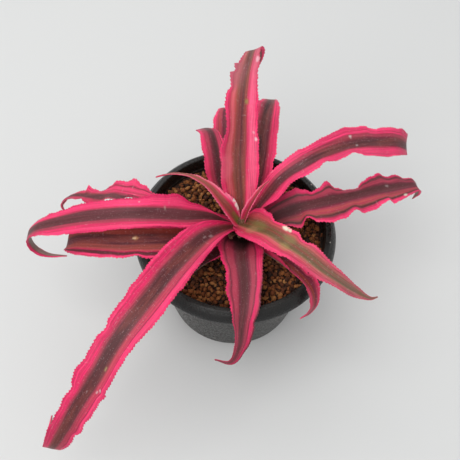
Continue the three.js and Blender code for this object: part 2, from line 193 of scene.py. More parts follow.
def potMaterial():
    material, add, shader = newMaterial("moulded polypropylene, black")
    looks = plasticLooks
    place = add("ShaderNodeTexCoord").outputs["Object"]
    height = add("ShaderNodeSeparateXYZ", [place]).outputs["Z"]
    scuff = add("ShaderNodeTexNoise", {"Vector": place, "Scale": 1 / looks["scuffSize"], "Detail": 6,
                                       "Roughness": 0.75})

    # Dust on the wall under the collar, and dust and painted sheen along the crest
    underCollar = (looks["collarBottom"] - looks["collarStep"], looks["collarBottom"])
    onCrest = (looks["crestTop"] - looks["crestStep"], looks["crestTop"])
    below = add("ShaderNodeMapRange", [height, *underCollar, looks["wallDust"], 0])
    crest = add("ShaderNodeMapRange", [height, *onCrest, 0, looks["crestDustAndSheen"]])
    wall = add("ShaderNodeMath", [below, crest], operation="MAXIMUM")
    scuffShare = add("ShaderNodeMapRange", [scuff, *looks["scuffRange"]])
    dustAndSheenShare = add("ShaderNodeMath", [wall, scuffShare, wall], operation="MULTIPLY_ADD")
    withDustAndSheen = add("ShaderNodeMix", {0: dustAndSheenShare, 6: linear(looks["colour"]), 7: linear(looks["dustAndSheen"])},
               data_type="RGBA")

    # A pale painted highlight along the lower edge of the collar, broken up by the scuffs, and specks
    fromEdge = add("ShaderNodeMath", [height, looks["collarBottom"] + looks["edgeHighlightHeight"]],
                   operation="SUBTRACT")
    offEdge = add("ShaderNodeMath", [fromEdge], operation="ABSOLUTE")
    edgeHighlightHere = add("ShaderNodeMapRange", [offEdge, *looks["edgeHighlightRange"]])
    edgeHighlightShare = add("ShaderNodeMath", [edgeHighlightHere, scuffShare], operation="MULTIPLY")
    edgeHighlighted = add("ShaderNodeMix", {0: edgeHighlightShare, 6: withDustAndSheen, 7: linear(looks["paintedEdgeHighlight"])}, data_type="RGBA")
    specks = add("ShaderNodeTexVoronoi", {"Vector": place, "Scale": 1 / looks["speckSpacing"]})
    speckHere = add("ShaderNodeMapRange", [specks.outputs["Distance"], *looks["speckRange"]])
    colour = add("ShaderNodeMix", {0: speckHere, 6: edgeHighlighted, 7: linear(looks["speck"])}, data_type="RGBA")

    # A leathery relief, strongest on the collar
    leather = add("ShaderNodeTexNoise", {"Vector": place, "Scale": 1 / looks["leather"], "Detail": 3,
                                         "Roughness": 0.6})
    roughness = add("ShaderNodeMapRange", [leather, *looks["roughness"]])
    relief = add("ShaderNodeMapRange", [height, *underCollar, looks["wallRelief"], 1])
    bump = add("ShaderNodeBump", {"Height": leather, "Strength": relief, "Distance": looks["reliefHeight"]})
    setInputs(shader, {"Base Color": colour, "Roughness": roughness, "Normal": bump, "IOR": looks["ior"],
                       "Specular IOR Level": looks["sheen"]})
    return material


# Baked clay granules: matt red-brown to ochre, dusty, each grain its own shade
clayLooks = {"pores": 0.9 * mm, "poreShare": 0.5, "poreHeight": 0.4 * mm, "roughness": 0.92,
             "shades": [(0, "#2c160a"), (0.28, "#542b13"), (0.52, "#77401d"), (0.78, "#905427"),
                        (1, "#a77240")]}


def clayMaterial():
    material, add, shader = newMaterial("baked clay granules")
    place = add("ShaderNodeTexCoord").outputs["Object"]
    shade = add("ShaderNodeAttribute", attribute_name="grainShade").outputs["Fac"]
    pores = add("ShaderNodeTexNoise", {"Vector": place, "Scale": 1 / clayLooks["pores"], "Detail": 4,
                                       "Roughness": 0.7})
    mixed = add("ShaderNodeMath", [pores, clayLooks["poreShare"], shade], operation="MULTIPLY_ADD")
    centred = add("ShaderNodeMath", [mixed, clayLooks["poreShare"] / 2], operation="SUBTRACT")
    colour = add("ShaderNodeValToRGB", [centred], stops=clayLooks["shades"])
    bump = add("ShaderNodeBump", {"Height": pores, "Strength": 0.6, "Distance": clayLooks["poreHeight"]})
    setInputs(shader, {"Base Color": colour, "Roughness": clayLooks["roughness"], "Normal": bump})
    return material


# Woody stem wrapped in the dry bases of shed leaves: dull brown, fibrous
barkLooks = {"colours": [(0.3, "#3a2418"), (0.5, "#6b4a35"), (0.75, "#94755a")], "fibre": 0.7 * mm,
             "fibreStretch": (1, 1, 0.25), "fibreHeight": 0.4 * mm, "roughness": 0.85}


def barkMaterial():
    material, add, shader = newMaterial("dry stem bark")
    place = add("ShaderNodeTexCoord").outputs["Object"]
    stretched = add("ShaderNodeVectorMath", [place, barkLooks["fibreStretch"]], operation="MULTIPLY")
    fibre = add("ShaderNodeTexNoise", {"Vector": stretched, "Scale": 1 / barkLooks["fibre"], "Detail": 4})
    colour = add("ShaderNodeValToRGB", [fibre], stops=barkLooks["colours"])
    bump = add("ShaderNodeBump", {"Height": fibre, "Strength": 0.7, "Distance": barkLooks["fibreHeight"]})
    setInputs(shader, {"Base Color": colour, "Roughness": barkLooks["roughness"], "Normal": bump})
    return material


potPlastic = potMaterial()
clay = clayMaterial()
bark = barkMaterial()
print("materials made")


def newObject(name, data):
    made = bpy.data.objects.new(name, data)
    bpy.context.scene.collection.objects.link(made)
    return made


# The evaluated result of an object's modifiers as a plain mesh object at the origin
def plainMesh(source, name):
    depsgraph = bpy.context.evaluated_depsgraph_get()
    mesh = bpy.data.meshes.new_from_object(source.evaluated_get(depsgraph), preserve_all_data_layers=True,
                                           depsgraph=depsgraph)
    mesh.name = name
    made = newObject(name, mesh)
    bpy.data.objects.remove(source)
    return made


def addModifier(target, tree, values):
    modifier = target.modifiers.new(tree.name, "NODES")
    modifier.node_group = tree
    sockets = {item.name: item.identifier for item in tree.interface.items_tree if item.item_type == "SOCKET"
               and item.in_out == "INPUT"}
    for name, value in values.items():
        modifier[sockets[name]] = value


# A tree that takes a geometry and the named inputs of each kind, and gives a geometry
def newTree(name, **inputs):
    tree = bpy.data.node_groups.new(name, "GeometryNodeTree")
    tree.interface.new_socket("Geometry", in_out="INPUT", socket_type="NodeSocketGeometry")
    for kind, names in inputs.items():
        for inputName in names:
            tree.interface.new_socket(inputName, in_out="INPUT", socket_type="NodeSocket" + kind)
    tree.interface.new_socket("Geometry", in_out="OUTPUT", socket_type="NodeSocketGeometry")
    given, result = tree.nodes.new("NodeGroupInput").outputs, tree.nodes.new("NodeGroupOutput")
    return tree, nodeAdder(tree), given, result


# What all leaves share. Curves are the powers by which a form grows towards the margin.
leafShared = {
    "inputs": {"Margin Thickness": 0.7 * mm, "Section Points": 44, "Ruffle Height": 2.0 * mm,
               "Ruffle Length": 6 * mm, "Tooth Height": 0.9 * mm, "Tooth Spacing": 1.9 * mm},
    "step": 0.5 * mm, "thickening": 0.25, "edgeRounding": 0.4, "gutterCurve": 1.6, "ruffleCurve": 4,
    "toothCurve": 40, "ruffleApart": 7, "rippleStart": 0.05, "rippleFull": 0.25, "rippleShare": 0.6,
    "scallopOut": 0.85, "markSquash": 0.6, "markEdge": 2,
}


# Leaf blade on a midrib: a ring of points round the blade's section runs along it. lane is -1 to 1 across
# the blade, and side is over 0 on its upper face.
def leafTree():
    tree, add, given, result = newTree("Leaf Blade", Material=["Material"], Int=["Section Points"], Float=[
        "Blade Thickness", "Margin Thickness", "Ruffle Height", "Ruffle Length", "Tooth Height",
        "Tooth Spacing", "Seed"])
    kept = {key: add("GeometryNodeInputNamedAttribute", {"Name": key}, data_type=kind)
            for kind, keys in (("FLOAT", ("lane", "side", "halfWidth", "distance", "gutterLift", "fullness",
                                          "leftOut", "rightOut", "leftRise", "rightRise")),
                               ("FLOAT_VECTOR", ("across", "up", "centre"))) for key in keys}
    section = add("GeometryNodeCurvePrimitiveCircle", {"Resolution": given["Section Points"], "Radius": 1})
    spot = add("ShaderNodeSeparateXYZ", [add("GeometryNodeInputPosition")])
    for key, axis in (("lane", "X"), ("side", "Y")):
        section = add("GeometryNodeStoreNamedAttribute", {
            "Geometry": section, "Name": key, "Value": spot.outputs[axis]}, data_type="FLOAT", domain="POINT")
    midrib = add("GeometryNodeMeshToCurve", {"Mesh": given["Geometry"]})
    blade = add("GeometryNodeCurveToMesh", {"Curve": midrib, "Profile Curve": section, "Fill Caps": True})

    lane, half, distance = kept["lane"], kept["halfWidth"], kept["distance"]
    away = add("ShaderNodeMath", [lane], operation="ABSOLUTE")
    hand = add("ShaderNodeMath", [lane], operation="SIGN")
    squared = add("ShaderNodeMath", [lane, lane], operation="MULTIPLY")

    # The margins stand over the midrib, and run out and rise in scallops
    bowl = add("ShaderNodeMath", [away, leafShared["gutterCurve"]], operation="POWER")
    gutter = add("ShaderNodeMath", [bowl, kept["gutterLift"]], operation="MULTIPLY")
    isLeft = add("ShaderNodeMath", [lane, 0], operation="LESS_THAN")
    out = add("ShaderNodeMix", {0: isLeft, 2: kept["rightOut"], 3: kept["leftOut"]})
    rise = add("ShaderNodeMix", {0: isLeft, 2: kept["rightRise"], 3: kept["leftRise"]})
    scallop = add("ShaderNodeMath", [out, squared], operation="MULTIPLY")
    raised = add("ShaderNodeMath", [rise, squared, gutter], operation="MULTIPLY_ADD")

    # Uneven ruffles close to each margin, upwards and sideways
    runs = add("ShaderNodeMath", [distance, given["Ruffle Length"]], operation="DIVIDE")
    apart = add("ShaderNodeMath", [hand, leafShared["ruffleApart"]], operation="MULTIPLY")
    rufflePlace = add("ShaderNodeCombineXYZ", [runs, apart, given["Seed"]])
    noise = add("ShaderNodeTexNoise", {"Vector": rufflePlace, "Scale": 1, "Detail": 2, "Roughness": 0.55})
    ruffle = add("ShaderNodeVectorMath", [noise.outputs["Color"], (0.5, 0.5, 0.5)], operation="SUBTRACT")
    ruffleParts = add("ShaderNodeSeparateXYZ", [ruffle])
    nearMargin = add("ShaderNodeMath", [away, leafShared["ruffleCurve"]], operation="POWER")
    grown = add("ShaderNodeMath", [nearMargin, kept["fullness"]], operation="MULTIPLY")
    reach = add("ShaderNodeMath", [grown, given["Ruffle Height"]], operation="MULTIPLY")
    lift = add("ShaderNodeMath", [ruffleParts.outputs["X"], reach, raised], operation="MULTIPLY_ADD")
    spread = add("ShaderNodeMath", [ruffleParts.outputs["Y"], reach, scallop], operation="MULTIPLY_ADD")

    # Forward pointing teeth on the very edge
    teeth = add("ShaderNodeMath", [distance, given["Tooth Spacing"]], operation="DIVIDE")
    saw = add("ShaderNodeMath", [teeth], operation="FRACT")
    edge = add("ShaderNodeMath", [away, leafShared["toothCurve"]], operation="POWER")
    sharp = add("ShaderNodeMath", [saw, edge], operation="MULTIPLY")
    toothed = add("ShaderNodeMath", [sharp, given["Tooth Height"]], operation="MULTIPLY")
    toothFull = add("ShaderNodeMath", [toothed, kept["fullness"]], operation="MULTIPLY")
    outward = add("ShaderNodeMath", [toothFull, spread], operation="ADD")
    signed = add("ShaderNodeMath", [outward, hand], operation="MULTIPLY")
    sideways = add("ShaderNodeMath", [lane, half, signed], operation="MULTIPLY_ADD")

    # The under face lies a thickness lower, and closes round the edge
    grownThick = add("ShaderNodeMath", [half, leafShared["thickening"], given["Margin Thickness"]],
                     operation="MULTIPLY_ADD")
    middle = add("ShaderNodeMath", [grownThick, given["Blade Thickness"]], operation="MINIMUM")
    thickness = add("ShaderNodeMix", {0: squared, 2: middle, 3: given["Margin Thickness"]})
    down = add("ShaderNodeMath", [kept["side"], -1], operation="MULTIPLY")
    lower = add("ShaderNodeMath", [down, 0], operation="MAXIMUM")
    rounded = add("ShaderNodeMath", [lower, leafShared["edgeRounding"]], operation="POWER")
    drop = add("ShaderNodeMath", [rounded, thickness], operation="MULTIPLY")
    height = add("ShaderNodeMath", [lift, drop], operation="SUBTRACT")

    acrossStep = add("ShaderNodeVectorMath", {0: kept["across"], "Scale": sideways}, operation="SCALE")
    upStep = add("ShaderNodeVectorMath", {0: kept["up"], "Scale": height}, operation="SCALE")
    offMidrib = add("ShaderNodeVectorMath", [acrossStep, upStep], operation="ADD")
    place = add("ShaderNodeVectorMath", [kept["centre"], offMidrib], operation="ADD")
    shaped = add("GeometryNodeSetPosition", {"Geometry": blade, "Position": place})
    smooth = add("GeometryNodeSetShadeSmooth", {"Geometry": shaped})
    real = add("GeometryNodeRealizeInstances", {"Geometry": smooth})
    dressed = add("GeometryNodeSetMaterial", {"Geometry": real, "Material": given["Material"]})
    setInputs(result, [dressed])
    return tree


# Each leaf in mm: path is the midrib from the stem to the tip, and half, gutter and roll are spaced evenly
# along it. half is the half width, gutter how far the margins stand over the midrib as a share of that, and
# roll the turn about the midrib in degrees. The edge lists are the scallops of the two margins: how far along
# the leaf, and how far out. lean says how much the left and the right one rise as they run out. bands are the
# stripes from the left margin at -1 to the right margin at 1, each tone followed by its places, and drift how
# far they shift sideways as they run. tip is the tone that takes over near the tip with its start, end and
# strength, blotches a second tone along the middle with its strength, and the last list the place, lane,
# radius, colour and strength of each scar or patch, among them some painted shade and painted highlights.
# usualLeaf is what a leaf has unless it says otherwise.
usualLeaf = dict(lean=(0.3, 0.3), drift=[0, 0], roll=[0, 0], leftEdge=[], rightEdge=[], marksAndPaintedLight=[])
leafPlan = {
    "leaf_back_tall": dict(
        thick=1.5, tip=("drab", 80, 115, 0.65), blotches=("olive", 0.3),
        half=[3.5, 7.5, 10.4, 11.2, 10.8, 9.4, 8.6, 7.9, 6.2, 3.4, 0.4], gutter=[0.4, 0.4, 0.3, 0.2, 0],
        roll=[0, 0, -5, -50, -65],
        path=[(4, 3, 90), (2, 10, 103), (0, 19, 123), (0, 29, 142), (0, 37, 157), (1, 45, 169), (3, 53, 176),
              (5, 60, 178), (8, 64, 172), (8, 64, 163), (6, 62, 155)],
        leftEdge=[(28, 1.5), (39, 0), (50, 1.5), (56, -0.5), (61, -2), (68, -1.5), (78, 0), (82, -0.5),
                  (85, -2), (93, 0), (94, -2), (98, -0.5), (99, -2.5), (104, -3), (112, -3)],
        rightEdge=[(20, 0.5), (64, -0.5), (74, 0.5), (87, 1)],
        bands="pink -1 -0.88, crimson -0.78, shrimp -0.66 -0.48, salmon -0.37, terracotta -0.28, "
              "maroon -0.17 -0.03, mauve 0.08, maroon 0.2, terracotta 0.3, raspberry 0.38, pink 0.46, "
              "candy 0.56 0.88, pink 0.94 1",
        # The three pale marks on the right margin, at 55, 59 and 102 mm, are painted highlights
        marksAndPaintedLight=[(55, 0.88, 1.0, "#f3dfe2", 0.6), (59, 0.8, 0.8, "#f3dfe2", 0.4),
               (102, 0.85, 1.2, "#efd3da", 0.5), (78, 0.36, 1.4, "#8b8f4a", 0.6),
               (93, -0.6, 6.5, "#935058", 0.55), (38, -0.75, 6.0, "#e2667c", 0.5)]),
    "leaf_back_right": dict(
        thick=1.3, tip=("drab", 85, 105, 0.4), blotches=("sienna", 0.3),
        half=[3.5, 5.5, 7.6, 8.4, 8.4, 8, 7.4, 6.6, 5.2, 3, 0.4], gutter=[0.4, 0.4, 0.35, 0.2, 0.1],
        path=[(6, 5, 83), (11, 21, 96), (14, 34, 108), (16, 53, 119), (18, 67, 121), (20, 78, 117),
              (21, 88, 108), (22, 94, 96), (21, 97, 84)],
        leftEdge=[(60, 0), (66, 1), (72, 0), (77, 0.8), (81, 1.5), (85, -1), (90, -1.5), (97, -3)],
        rightEdge=[(35, 0.5), (40, -0.5), (46, 1), (53, 0.3), (60, 1.2), (67, 0.4), (73, 0.4), (80, -1),
                   (88, -3), (96, -4)],
        bands="pink -1 -0.82, crimson -0.72, rose -0.6, wine -0.4, dusk -0.26, umber -0.05, mauve 0.2, "
              "wine 0.34, rose 0.46, crimson 0.56, pink 0.64, crimson 0.7, pink 0.8 1"),
    "leaf_back_left": dict(
        thick=1.3, lean=(0.3, 0), tip=("wine", 50, 75, 0.4), blotches=("wine", 0.3),
        half=[3.5, 5.5, 8, 8.6, 8.6, 8.2, 7.6, 6.8, 5.2, 3, 0.4], gutter=[0.4, 0.4, 0.2, -0.1, -0.3],
        path=[(1, 5, 88), (-5, 16, 98), (-10, 22, 104), (-12, 30, 110), (-14, 40, 114), (-17, 51, 115),
              (-21, 59, 110), (-25, 65, 102), (-24, 69, 93)],
        leftEdge=[(29, 0.5), (34, 1.5), (38, 1), (43, 2), (50, 2)],
        rightEdge=[(35, 0), (45, -3.5), (60, -4), (75, -2)],
        bands="pink -1 -0.88, crimson -0.76, rose -0.64 -0.5, wine -0.38, umber -0.25, dusk -0.08, "
              "umber 0.06, wine 0.14, crimson 0.25, rose 0.38, crimson 0.5, wine 0.62, crimson 0.7, pink 1"),
    "leaf_back_low": dict(
        thick=1.3, tip=("wine", 85, 100, 0.4), blotches=("wine", 0.3),
        half=[3.5, 5.5, 6.5, 7.2, 7.4, 7, 6.3, 5.3, 4, 2.4, 0.4], gutter=[0.4, 0.3, 0.2, -0.1, -0.4],
        roll=[0, 0, 0, 5, 5],
        path=[(3, 6, 78), (-3, 28, 86), (-9, 50, 96), (-11, 67, 103), (-11, 81, 103), (-9, 90, 96),
              (-8, 95, 86)],
        leftEdge=[(60, 0), (64, 1), (68, 0), (72, 0.8), (77, -0.3), (82, -1)],
        bands="pink -1 -0.88, raspberry -0.7, rose -0.5, salmon -0.36, rose -0.15, wine 0.05, "
              "mauve 0.2 0.5, rose 0.68, crimson 0.8, pink 1"),
    "leaf_right_upper": dict(
        thick=1.5, lean=(0.4, -0.4), drift=[0.15, 0.12, 0.05, -0.03, 0.05, 0.1], tip=("mauve", 125, 150, 0.4),
        blotches=("sienna", 0.25),
        half=[3.5, 5.4, 6.6, 7.2, 8.2, 9.2, 9.7, 9.8, 8, 4, 0.4], gutter=[0.3, 0.2, 0.1, 0, 0],
        roll=[0, 0, 0, 0, 15, 30],
        path=[(7, 3, 86), (16, 12, 98), (26, 19, 112), (41, 26, 121), (55, 34, 122), (74, 45, 117),
              (92, 54, 109), (104, 59, 104), (112, 63, 96), (115, 68, 88), (113, 73, 80), (107, 75, 74)],
        leftEdge=[(41, -0.5), (52, 0.5), (62, -0.5), (76, 0.5), (83, 1.5), (89, 2.5), (100, 1.5), (107, 2),
                  (110, 0), (114, -1), (122, 0.3), (131, 0.5), (138, 2.5), (149, 3)],
        rightEdge=[(12, -1), (28, 2.5), (45, 0), (51, 1), (59, 0.5), (65, -2), (72, -0.5), (78, -1),
                   (86, -3.5), (92, -2), (96, 0), (113, 0.5), (137, 0)],
        bands="pink -1 -0.84, crimson -0.79, pink -0.74 -0.67, crimson -0.62, rose -0.56 -0.42, wine -0.3, "
              "mauve -0.14, umber 0, mauve 0.2, wine 0.34, crimson 0.46, pink 0.58 1",
        marksAndPaintedLight=[(92, -0.5, 1.0, "#d6c4bc", 0.8), (94, 0.1, 0.9, "#c3b0ac", 0.7)]),
    "leaf_right_lower": dict(
        thick=1.5, lean=(0.5, -0.5), drift=[0.12, 0.1, 0.02, 0, 0], tip=("wine", 105, 130, 0.4),
        blotches=("mauve", 0.4),
        half=[3.5, 7, 9.6, 10.4, 10.5, 10.5, 10.2, 9.6, 8, 4.5, 0.4], gutter=[0.3, 0.1, 0, 0, 0],
        path=[(8, 0, 81), (20, 2, 90), (31, 4, 97), (44, 6, 102), (57, 9, 103), (70, 14, 101), (85, 21, 98),
              (101, 29, 92), (113, 35, 87.5), (120, 38, 84), (123.2, 38.8, 76), (121.5, 39, 68)],
        leftEdge=[(25, 1.5), (37, 3), (43, 1), (47, -1.5), (52, 0), (60, 4), (66, -1.5), (72, -4), (81, -4.5),
                  (87, -1), (95, 2), (101, 3.5), (107, 0.5), (115, 1.5), (121, -0.3), (128, 0.4), (136, 1.5)],
        rightEdge=[(28, 1), (36, 4), (41, -1.5), (47, 2.5), (55, 4), (62, 3), (71, -1), (76, 2.5), (84, 2),
                   (91, -0.5), (97, -2), (101, 1), (105, 0.5), (112, -0.5), (124, -1), (134, -1)],
        bands="pink -1, cerise -0.94, rose -0.88, mauve -0.84 -0.78, rose -0.7 -0.56, wine -0.44, "
              "umber -0.34 -0.1, mauve 0.1, wine 0.2, rose 0.3, salmon 0.42, raspberry 0.53, "
              "terracotta 0.6, umber 0.68, mauve 0.74, crimson 0.8, pink 0.88 1",
        # The broad dark patch near the base, at 22 mm, is painted shade from the leaves over it
        marksAndPaintedLight=[(22, -0.1, 14, "#2a1416", 0.65), (103, -0.25, 1.1, "#b49a98", 0.6),
               (113, 0.8, 1.3, "#d8cdb9", 0.8)]),
    "leaf_front_right": dict(
        thick=1.6, lean=(0.3, -0.3), tip=("drab", 50, 95, 0.6), blotches=("olive", 0.6),
        half=[5, 8.4, 9.6, 9, 8.2, 7.4, 6.5, 5, 3.4, 1.6, 0.4], gutter=[0.3, 0.3, 0.15, 0.1, 0.1],
        path=[(-1, 2, 88), (19, -14, 104), (30, -25, 109), (41, -34, 110), (51, -41, 107), (63, -47, 102),
              (74, -50, 95), (81, -51, 91), (86, -49, 89)],
        leftEdge=[(6, -2), (12, 3), (17, 3.5), (24, 0.5), (31, -3), (44, -1), (49, 0.5), (54, -2), (61, 0.5),
                  (92, 0.5)],
        rightEdge=[(6, 1), (19, 3.5), (41, 4), (49, 2.5), (55, 1), (61, 1.5), (86, 1), (96, 2)],
        bands="pink -1 -0.88, raspberry -0.8, coral -0.64, terracotta -0.5 -0.38, olive -0.22, "
              "sienna -0.05, olive 0.1 0.26, tan 0.37, shrimp 0.48, coral 0.6, crimson 0.7, raspberry 0.78, "
              "pink 0.84 1",
        marksAndPaintedLight=[(40, -0.82, 1.9, "#e2dcc2", 1), (43, -0.86, 1.3, "#d9cdb4", 1),
               (22, 0.0, 5.0, "#7c8048", 0.45), (20, 0.42, 3.0, "#b39468", 0.4),
               (47, -0.3, 3.5, "#8a7a4c", 0.45), (48, 0.4, 2.6, "#97854c", 0.5)]),
    "leaf_front_right_low": dict(
        thick=1.2, lean=(0.3, -0.3), tip=("rose", 60, 85, 0.4), blotches=("wine", 0.3),
        half=[3, 4.6, 5.6, 6, 6, 5.4, 4.4, 3.2, 2, 1, 0.4], gutter=[0.3, 0.3, 0.2, 0.1, 0],
        path=[(7, -3, 79), (16, -16, 86), (27, -28, 92), (38, -38, 94), (46, -46, 90), (49, -51, 80),
              (47, -53, 72), (42, -55.5, 68)],
        leftEdge=[(53, 0), (57, 3.5), (65, 2.5), (82, 1.5)],
        rightEdge=[(12, -3), (22, -6.8), (30, -7.2), (36, -7.2), (42, -5), (48, -2.8), (54, -2.6), (63, -0.6),
                   (70, 1.2), (79, 1.5)],
        bands="pink -1, crimson -0.85, rose -0.74, wine -0.6 -0.4, brick -0.25 0, rose 0.15 0.4, "
              "crimson 0.6 0.85, raspberry 1"),
    "leaf_front": dict(
        thick=1.5, drift=[0, 0, 0.05, 0], tip=("wine", 70, 100, 0.6), blotches=("mauve", 0.4),
        half=[4, 9, 12.2, 12.2, 10.6, 8.4, 6.2, 4.6, 3, 1.6, 0.4], gutter=[0.3, 0.25, 0.15, 0, 0],
        path=[(4, -4, 81), (4, -18, 91), (5, -33, 97), (7, -47, 96), (7, -60, 91), (6, -68, 82), (5, -75, 67),
              (0, -81, 57), (-10, -78, 52)],
        leftEdge=[(26, 0), (41, -1.5), (52, -1), (60, 0.5), (68, 0.5), (76, 1.8), (85, 2), (95, 1)],
        rightEdge=[(19, 3), (33, 1), (37, -1), (45, 1), (53, 2.5), (64, 1), (70, 0.5), (76, -1), (94, 0)],
        bands="wine -1, crimson -0.93, cerise -0.84 -0.72, wine -0.62, rose -0.54 -0.38, wine -0.24, "
              "umber -0.1 0.14, mauve 0.26, wine 0.36, rose 0.48 0.7, wine 0.79, rose 0.86, cerise 0.95 1",
        # The three dark patches at the base are painted shade, deep in the heart of the rosette
        marksAndPaintedLight=[(6, 0, 12, "#150a0a", 0.95), (14, 0, 7, "#150a0a", 0.9), (19, 0.3, 4, "#2a1517", 0.6)]),
    "leaf_front_left": dict(
        thick=1.7, lean=(-0.4, 0.4), drift=[0.05, 0.03, -0.05, -0.12, -0.18], tip=("umber", 160, 195, 0.35),
        blotches=("sienna", 0.25),
        half=[3.5, 7.5, 10.2, 10.8, 10.2, 9.6, 9, 8.6, 7.8, 3.6, 0.4], gutter=[0.3, 0.25, 0.15, 0.1, 0],
        roll=[0, 0, 0, -10, -30, -35],
        path=[(1, -3, 89), (-8, -13, 100), (-18, -25, 108), (-33, -50, 117), (-43, -67, 119), (-54, -83, 117),
              (-64, -97, 110), (-73, -110, 99), (-83, -120, 86), (-91, -129, 73), (-98, -136, 62),
              (-102, -136, 54), (-104, -131, 51), (-104.8, -116, 50)],
        leftEdge=[(18, -1.5), (51, -1.5), (77, 0), (103, 1), (117, -0.5), (146, -0.5), (148, 1), (153, 0.5),
                  (160, 1.5), (173, 0.5), (180, 1.5), (183, 0), (192, 2.5)],
        rightEdge=[(43, 2), (93, 2), (99, 0.5), (109, 1), (118, -0.5), (123, 1), (130, 0.5), (134, 1),
                   (144, 3), (149, 1.5), (156, -1.5), (163, -0.5), (169, -1.5), (174, -1), (188, 0.5)],
        bands="cerise -1 -0.92, pink -0.84 -0.7, cerise -0.66, wine -0.63, crimson -0.6, "
              "raspberry -0.47 -0.39, rose -0.31, mauve -0.2, umber -0.08 0.3, mauve 0.39, rose 0.53, "
              "crimson 0.64, cerise 0.7 0.78, crimson 0.83, cerise 0.88, pink 0.94, cerise 1",
        # The two pale pink marks at 147 and 149 mm are painted highlights on the crinkled margin
        marksAndPaintedLight=[(135, -0.3, 1.0, "#a88f62", 0.8), (147, -0.62, 0.7, "#e2c2c4", 0.8),
               (149, -0.55, 0.7, "#e2c2c4", 0.6), (30, -0.05, 1.3, "#a98d8c", 0.5),
               (34, 0.15, 1.0, "#a98d8c", 0.5)]),
    "leaf_front_left_low": dict(
        thick=1.2, tip=("wine", 36, 43, 0.3), blotches=("wine", 0.3),
        half=[3, 4.5, 5.5, 5.8, 5.8, 5.5, 5, 4.2, 3, 1.6, 0.4], gutter=[0.3, 0.2, 0.1, 0.1, 0],
        path=[(3, -5, 79), (-7, -16, 82), (-18, -26, 83), (-27, -35, 82)],
        leftEdge=[(14, -2), (23, -4.4), (28, -5), (33, -5.5), (38, -3)],
        bands="pink -1 -0.5, wine -0.36, dusk -0.2, umber 0.3, wine 0.7, crimson 1"),
    "leaf_left": dict(
        thick=1.6, lean=(-0.4, 0.4), drift=[-0.05, -0.14, -0.06, -0.02, -0.18, -0.45, -0.5],
        tip=("umber", 130, 165, 0.3), blotches=("mauve", 0.3),
        half=[3.5, 7, 9.8, 10.6, 10.6, 10, 8.8, 6.8, 4.8, 3, 0.4], gutter=[0.2, 0.2, 0.1, 0.1, 0],
        path=[(0, 0, 85), (-16, -1, 97), (-34, -8, 108), (-51, -13, 115), (-64, -15, 117), (-79, -15, 114),
              (-95, -14, 109), (-111, -12, 101), (-124.5, -10, 92), (-132.5, -9, 79.5), (-132, -9.5, 65),
              (-124, -11, 58), (-111, -11, 57)],
        leftEdge=[(44, -0.5), (57, -1.5), (78, -0.5), (98, 0.5), (125, 1.5), (140, 1)],
        rightEdge=[(11, -4), (31, -2), (44, 2.5), (52, 1.5), (58, 1.3), (64, 0), (69, -1.2), (105, -1),
                   (126, -2.5), (148, -3.5), (165, -1)],
        bands="cerise -1 -0.92, pink -0.84 -0.72, crimson -0.65, cerise -0.58, crimson -0.5, "
              "rose -0.43 -0.34, mauve -0.24, umber 0, mauve 0.3 0.4, rose 0.48, crimson 0.55, "
              "pink 0.62 0.93, cerise 1",
        marksAndPaintedLight=[(52, 0.35, 0.9, "#c9a89a", 0.7), (68, 0.72, 0.7, "#e6c3cb", 0.6)]),
    "leaf_left_low": dict(
        thick=1.4, lean=(-0.4, 0.4), drift=[0, 0, 0, 0.06, 0.1], tip=("mauve", 95, 125, 0.5),
        blotches=("sienna", 0.4),
        half=[3, 5, 8.2, 9.2, 9.6, 9.6, 9.2, 8.6, 7.4, 4.2, 0.4], gutter=[0.15, 0.2, 0.1, 0, 0],
        roll=[0, -6, -18, -20, -10],
        path=[(1, -2, 81), (-18, -13, 88), (-37, -20, 96), (-53, -23, 99), (-70, -23, 97), (-84, -21, 94),
              (-97, -18.5, 89), (-105, -17.5, 83), (-106.5, -14.5, 76.5), (-103, -11.5, 73),
              (-96, -9.5, 71.5)],
        leftEdge=[(61, 1), (68, -1), (76, 0.2), (83, -0.2), (90, 1), (99, 0.5), (108, 0.5), (114, -0.5),
                  (120, -3), (130, -3.5)],
        rightEdge=[(90, 0), (104, -1), (112, 0), (120, 1.2), (128, 0.5)],
        bands="pink -1 -0.91, wine -0.85, umber -0.76, wine -0.69, crimson -0.62, coral -0.54, "
              "terracotta -0.42 -0.26, mauve -0.12 0.2, umber 0.36 0.48, brick 0.6 0.88, crimson 0.93, "
              "pink 1",
        marksAndPaintedLight=[(69, 0.28, 1.5, "#c98f62", 1), (70, 0.26, 0.9, "#ecd0a4", 1)]),
    "leaf_left_back": dict(
        thick=1.4, lean=(-0.5, 0.5), drift=[0, 0, -0.1, -0.3, 0.35, 0.85, 0.75], tip=("mauve", 110, 140, 0.4),
        blotches=("sienna", 0.3),
        half=[3, 5, 6.6, 8.3, 9, 7.6, 6, 4.6, 3, 1.4, 0.4], gutter=[0.15, 0.1, 0, 0, 0],
        path=[(1, 3, 83), (-18, 3, 90), (-38, 3, 97), (-54, 7, 102), (-74, 12, 101), (-85, 13, 96),
              (-95, 15, 91), (-106, 18, 85.5), (-114, 21, 77.5), (-118, 22.5, 68), (-116.5, 22, 61),
              (-111, 21, 57)],
        leftEdge=[(60, -4), (70, -6), (77, -1), (87, -1.5), (93, 1.5), (97, 2.5), (104, 0.5), (108, -2),
                  (112, -1), (120, -2), (133, 0)],
        rightEdge=[(45, -3), (59, -4), (67, 0), (73, 3.5), (77, 1), (83, 2), (87, -0.5), (96, -2), (101, 0),
                   (106, 3.5), (108, 0), (122, -1), (129, -3.5), (140, -2)],
        bands="crimson -1, raspberry -0.88, rose -0.78, mauve -0.66 -0.15, rose 0, crimson 0.15, pink 0.28, "
              "crimson 0.4, pink 0.5 0.7, crimson 0.79, wine 0.86, crimson 0.92, pink 1"),
